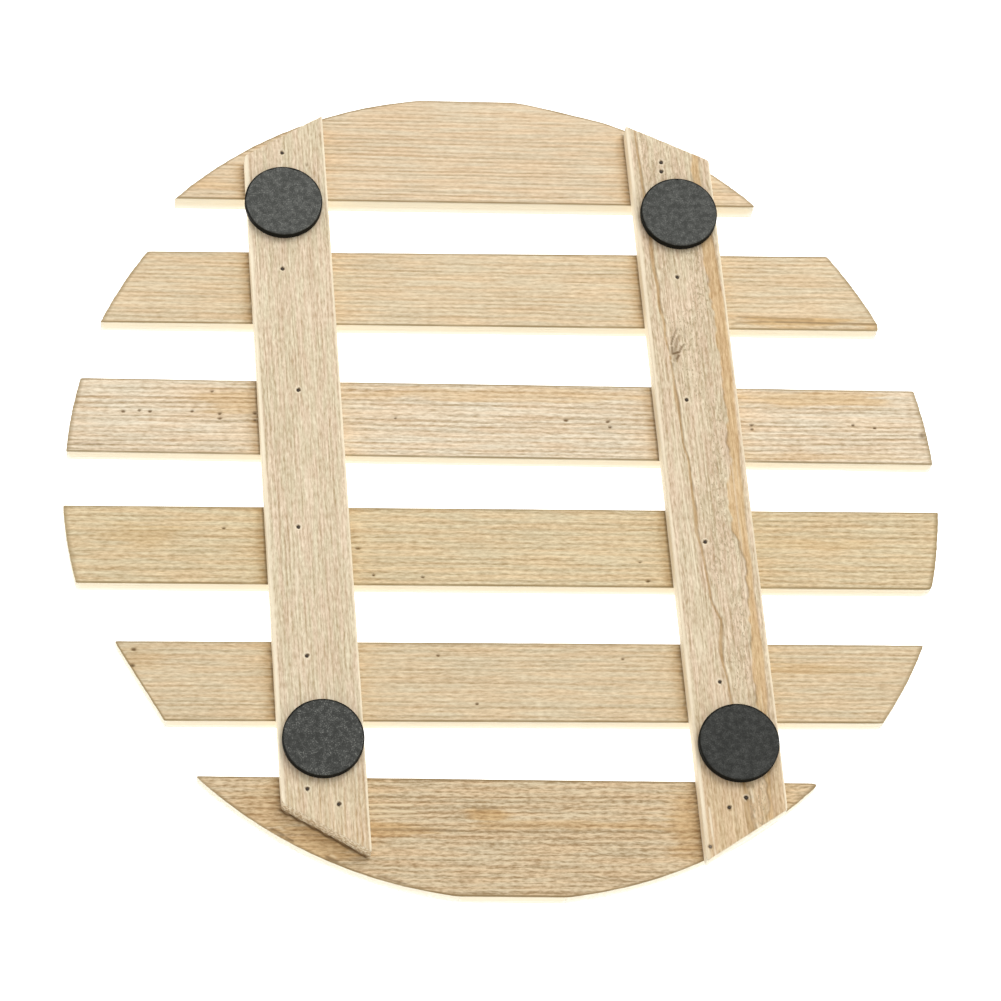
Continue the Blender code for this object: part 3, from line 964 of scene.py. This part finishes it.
# How dark the wood is round a nail's head, and how bright the painted highlight ring round that
PLAIN_NAIL = (0.95, 0.75)
NAIL_LOOKS = {
    "nail_right_8": (0.80, 0.15),
    "nail_right_9": (0.45, 0.0),
    "nail_left_2": (0.95, 0.45),
}
nail_places = {}
for name in nodes:
    if name.startswith("nail"):
        low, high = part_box(name)
        nail_places[name] = (low + high) / 2.0 / MM

for count, batten in enumerate(BATTENS):
    thickness = BATTEN_TOP - BATTEN_BASE
    place = (batten.node, batten.x, batten.y, batten.turn, BATTEN_BASE)
    board = Board(*place, thickness, BATTEN_ARRIS, BATTEN_STEP)
    turn = np.radians(batten.turn)
    side = batten.node.split("_")[1]
    own = [name for name in nail_places if name.startswith("nail_" + side)]
    spots = [nail_places[name] for name in own]
    looks = [NAIL_LOOKS.get(name, PLAIN_NAIL) for name in own]
    nails = [
        (
            (p.x - batten.x) * np.cos(turn) + (p.y - batten.y) * np.sin(turn),
            (p.y - batten.y) * np.cos(turn) - (p.x - batten.x) * np.sin(turn),
        )
        for p in spots
    ]
    grid = lay_board(board, nails + [(along, 0.0) for along in KNOT_ROWS])
    seed = 1000 * (count + 1)
    depth, furrow = carve(grid, 0.07, batten.pitch, 8.0, seed)
    # Browner towards the near end
    skin_and_shade = 0.34 * ease(52.0, 78.0, grid.along) * (0.4 + furrow)
    dark = np.zeros_like(depth)
    pale = np.zeros_like(depth)
    crumb = 0.35 * ease(0.35, 0.8, lattice(grid.along / 14.0, grid.across / 4.0, seed + 30))
    if batten.node == "batten_right":
        skin_and_shade, lower, dark, pale, crumb = batten_marks(grid, seed + 40)
        depth = depth + lower * grid.face
    cracks = struck(grid, STROKES)
    dark = np.maximum(dark, cracks)
    depth = depth + 0.20 * cracks * grid.face
    pale = np.maximum(pale, struck(grid, PALE_STROKES))

    # Painted highlights: the left arris is bright, the right one a little less, and long pale
    # fibres catch the light
    from_low, from_high = from_edges(grid)
    vary = 0.55 + 0.45 * lattice(grid.along / 7.0, 0.0 * grid.along, seed + 33)
    vary = vary * (np.abs(grid.end) < 0.5)
    pale = np.maximum(pale, vary * ease(0.90, 0.60, from_low))
    pale = np.maximum(pale, 0.85 * vary * ease(0.50, 0.30, from_high))
    sliver = lattice(grid.along / 12.0, grid.across / 0.35, seed + 31)
    pale = np.maximum(pale, 0.45 * ease(0.80, 0.97, sliver) * grid.face)
    torn = lattice(grid.along / 0.3, grid.across / 0.3, seed + 32) - 0.5
    for (along, across), (bruise, ring) in zip(nails, looks):
        away = np.hypot(grid.along - along, grid.across - across)
        depth = depth + 0.30 * ease(NAIL_BRUISE, 0.25, away) * grid.face
        # Painted highlight ring round the nail's dark bruise
        pale = np.maximum(pale, ring * ease(0.85, 0.60, away))
        pale = pale * ease(0.30, 0.50, away)
        dark = np.maximum(dark, bruise * ease(0.58, 0.34, away + 0.35 * torn))
    layers = layers_of(grid, furrow, skin_and_shade, np.clip(dark, 0.0, 1.0), pale, crumb, batten.dots)
    mesh = into_mesh(batten.node + "_planed", grid, depth, layers)
    grain = BATTEN_GRAIN._replace(contrast=batten.contrast)
    finish = bamboo(batten.node + "_bamboo", batten.tint, batten.turn, grain)
    put_in_scene(batten.node + "_planed", mesh, finish, "batten_bamboo", batten.node)
    print(batten.node, len(mesh.vertices), "points,", len(nails), "nails")

# %% [markdown]
# ## Turned pieces: feet and nails
#
# A rubber foot is a stamped disc, and a nail is a thin rod of steel. Both are profiles spun round
# an axis, so both come from one function: rings of points, each ring at its own radius and height.
# The first and the last ring have no width, and become one point each.

# %% Spin a profile
def spin_profile(name, centre, radius, height, bulge, sides):
    """Mesh of a turned piece: ring i has radius[i] and height[i], and bulge adds to the height."""
    angle = np.linspace(0.0, 2.0 * np.pi, sides, endpoint=False)
    x = radius[:, None] * np.cos(angle)
    y = radius[:, None] * np.sin(angle)
    z = height[:, None] + bulge(x, y) * (height[:, None] > height.mean())
    z[0] = z[0].mean()
    z[-1] = z[-1].mean()
    points = np.stack((x + centre.x, y + centre.y, z), axis=-1).reshape(-1, 3) * MM
    rings = len(radius)
    number = np.arange(rings * sides).reshape(rings, sides)
    here = number[1:-2]
    below = number[2:-1]
    cells = np.stack((here, below, np.roll(below, -1, axis=1), np.roll(here, -1, axis=1)), axis=-1)
    top = np.stack((np.full(sides, number[0, 0]), number[1], np.roll(number[1], -1)), axis=-1)
    foot = np.stack((np.roll(number[-2], -1), number[-2], np.full(sides, number[-1, 0])), axis=-1)
    faces = cells.reshape(-1, 4).tolist() + top.tolist() + foot.tolist()
    used = np.unique(np.concatenate((cells.ravel(), top.ravel(), foot.ravel())))
    renumber = np.zeros(rings * sides, int)
    renumber[used] = np.arange(len(used))
    mesh = bpy.data.meshes.new(name)
    mesh.from_pydata(points[used], [], [renumber[face].tolist() for face in faces])
    mesh.shade_smooth()
    return mesh


# %% [markdown]
# ## Rubber
#
# The feet are punched from a sheet of black rubber. The sheet is matt and a little mottled, with a
# fine pale speckle of dust and filler, and the punched edge is darker than the face; a painted
# shade widens that dark edge towards the far side.

# %% Rubber material
def rubber(name, tone, speckle):
    """Matt black rubber: tone scales its colour, and speckle says how dusty it is."""
    black = Recipe(name)
    place = black.add("ShaderNodeTexCoord", {}, {}, output="Object")
    blotch = black.noise(place, (1.1, 1.1, 1.1), detail=3.0)
    speck = black.noise(place, (0.26, 0.26, 0.26), detail=1.0)
    dust = black.ramp(speck, 0.56, 0.72) * black.ramp(blotch, 0.36, 0.62)
    edge = black.layer("edge")
    dark = (0.066 * tone, 0.068 * tone, 0.062 * tone, 1.0)
    light = (0.132 * tone, 0.135 * tone, 0.125 * tone, 1.0)
    mixed = black.ramp(blotch + (speck - 0.5) * 0.8, 0.25, 0.80)
    colour = black.blend(mixed, dark, light)
    colour = black.blend(dust * speckle, colour, (0.30, 0.30, 0.27, 1.0))
    colour = black.blend(edge, colour, (0.007, 0.007, 0.005, 1.0))
    bump = black.add(
        "ShaderNodeBump",
        {},
        {"Strength": 0.6, "Distance": 0.12 * MM, "Height": speck + blotch * 0.5},
    )
    black.fill(
        black.shader,
        {"Base Color": colour, "Roughness": 0.78 + (speck - 0.5) * 0.2, "Normal": bump},
    )
    black.shader.inputs["Specular IOR Level"].default_value = 0.1
    return black.material


# %% Build the feet
FOOT_BASE = 7.6
FOOT_EDGE = 0.5
FOOT_RINGS = 44
FOOT_SIDES = 80

# How light each foot is, and how dusty
FOOT_TONES = {
    "foot_far_left": (0.98, 0.55),
    "foot_far_right": (0.88, 0.35),
    "foot_near_left": (0.72, 0.75),
    "foot_near_right": (0.52, 0.12),
}
for count, name in enumerate(sorted(n for n in nodes if n.startswith("foot"))):
    low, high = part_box(name)
    centre = (low + high) / 2.0 / MM
    rim = (high.x - low.x) / 2.0 / MM
    top = high.z / MM - 0.03
    turn = np.linspace(0.0, np.pi / 2.0, 5)
    face = np.linspace(0.0, rim - FOOT_EDGE, FOOT_RINGS)[:-1]
    edge_radius = rim - FOOT_EDGE * (1.0 - np.sin(turn))
    edge_height = top - FOOT_EDGE * (1.0 - np.cos(turn))
    radius = np.concatenate((face, edge_radius, [rim, rim, rim - 0.2, 0.0]))
    height = np.concatenate((top + 0.0 * face, edge_height, [8.7, 7.9, FOOT_BASE, FOOT_BASE]))

    def uneven(x, y, seed=3000 + 10 * count):
        """What the face adds to its height: dimples, 0.04 mm at most, fading out at the rim."""
        inner = ease(rim, rim - 1.5, np.hypot(x, y))
        return -0.04 * lattice(x / 1.7 + 40.0, y / 1.7 + 40.0, seed) * inner

    mesh = spin_profile(name + "_rubber", centre, radius, height, uneven, FOOT_SIDES)
    points = np.array([v.co for v in mesh.vertices]) / MM
    reach = np.hypot(points[:, 0] - centre.x, points[:, 1] - centre.y)
    bearing = np.arctan2(points[:, 1] - centre.y, points[:, 0] - centre.x)
    torn = lattice(bearing * 9.0 + 30.0, 0.0 * bearing, 3500 + count)
    # Painted shade: the dark line round the face widens towards the far side, where the rounded
    # edge turns away, and is gone on the near side
    line = (0.16 + 0.10 * torn) * (1.0 + np.sin(bearing))
    side = ease(top - 0.4, top - 0.6, points[:, 2])
    black_rim = np.maximum(ease(rim - line - 0.10, rim - line, reach), side)
    edge = mesh.attributes.new("edge", "FLOAT", "POINT")
    edge.data.foreach_set("value", black_rim.astype(np.float32))
    finish = rubber(name + "_rubber", *FOOT_TONES[name])
    put_in_scene(name + "_rubber", mesh, finish, "foot_rubber", name)
    print(name, len(mesh.vertices), "points")

# %% [markdown]
# ## Steel
#
# The nails are thin and headless, driven just below the face. What shows is a dull dark disc.

# %% Steel material and nails
SHANK_HEIGHT = 5.0
NAIL_SIDES = 16


def steel(name, dark, light):
    """Dull steel with a little rust, between a dark and a light colour."""
    metal = Recipe(name)
    where = metal.add("ShaderNodeTexCoord", {}, {}, output="Object")
    rust = metal.noise(where, (0.2, 0.2, 0.2))
    metal.fill(
        metal.shader,
        {"Base Color": metal.blend(rust, dark, light), "Roughness": 0.45 + rust * 0.3},
    )
    metal.shader.inputs["Metallic"].default_value = 0.7
    return metal.material


dark_steel = steel("nail_steel", (0.030, 0.024, 0.018, 1.0), (0.10, 0.078, 0.058, 1.0))
worn_steel = steel("nail_steel_worn", (0.14, 0.11, 0.08, 1.0), (0.26, 0.21, 0.16, 1.0))
for name, spot in nail_places.items():
    low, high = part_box(name)
    rim = (high.x - low.x) / 2.0 / MM
    top = high.z / MM
    tip = low.z / MM
    radius = np.array((0.0, 0.45 * rim, 0.8 * rim, rim, rim, rim, 0.0))
    height = np.array((top, top - 0.01, top - 0.03, top - 0.1, SHANK_HEIGHT, tip + 1.0, tip))
    mesh = spin_profile(name + "_steel", spot, radius, height, lambda x, y: 0.0 * x, NAIL_SIDES)
    finish = worn_steel if name == "nail_right_9" else dark_steel
    put_in_scene(name + "_steel", mesh, finish, "nail_steel", name)
print(len(nail_places), "nails")

# %% [markdown]
# ## Floor and light
#
# The trivet lies on a white light table in a bright tent, so the floor glows, the sides near it
# are almost burnt out, which the wood's colour also paints in as a painted glow, and shadows are
# faint. A plain emission lifts the floor to white, one wide soft lamp hangs high on the far right,
# and the tent is an even pale world.

# %% Floor
FLOOR_SIZE = 3.0
FLOOR_DROP = 0.05 * MM
FLOOR_GLOW = 1.5
table = bpy.data.meshes.new("light_table")
half = FLOOR_SIZE / 2.0
corners = [(-half, -half), (half, -half), (half, half), (-half, half)]
table.from_pydata([(x, y, -FLOOR_DROP) for x, y in corners], [], [(0, 1, 2, 3)])
floor = link("light_table", table)
glow = Recipe("light_table")
white = (1.0, 1.0, 1.0, 1.0)
matt = {"Base Color": (0.35, 0.35, 0.35, 1.0), "Roughness": 1.0, "Specular IOR Level": 0.0}
glow.fill(glow.shader, {**matt, "Emission Color": white, "Emission Strength": FLOOR_GLOW})
table.materials.append(glow.material)

# %% Light
TENT_STRENGTH = 0.76
tent = bpy.data.worlds.new("tent")
tent.use_nodes = True
tent_wall = tent.node_tree.nodes["Background"]
tent_wall.inputs["Color"].default_value = white
tent_wall.inputs["Strength"].default_value = TENT_STRENGTH
bpy.context.scene.world = tent


def softbox(name, place, size, power):
    """A square area lamp that faces the middle of the trivet."""
    data = bpy.data.lights.new(name, "AREA")
    data.size = size
    data.energy = power
    lamp = link(name, data)
    lamp.location = place
    lamp.rotation_mode = "QUATERNION"
    lamp.rotation_quaternion = Vector(place).to_track_quat("Z", "Y")
    return lamp


softbox("far_box", (0.4, 0.66, 1.2), 0.8, 7.5)
bpy.context.scene.view_settings.view_transform = "Standard"
bpy.context.scene.view_settings.look = "None"
print("lamps:", [o.name for o in bpy.data.objects if o.type == "LIGHT"])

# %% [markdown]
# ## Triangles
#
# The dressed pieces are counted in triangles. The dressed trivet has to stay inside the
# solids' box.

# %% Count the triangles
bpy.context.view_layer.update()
triangles = {
    thing.name: sum(len(face.vertices) - 2 for face in thing.data.polygons)
    for thing in bpy.data.objects
    if thing.type == "MESH" and thing.name.endswith(("_planed", "_rubber", "_steel"))
}
print("triangles:", sum(triangles.values()), "in all; largest", max(triangles.values()))
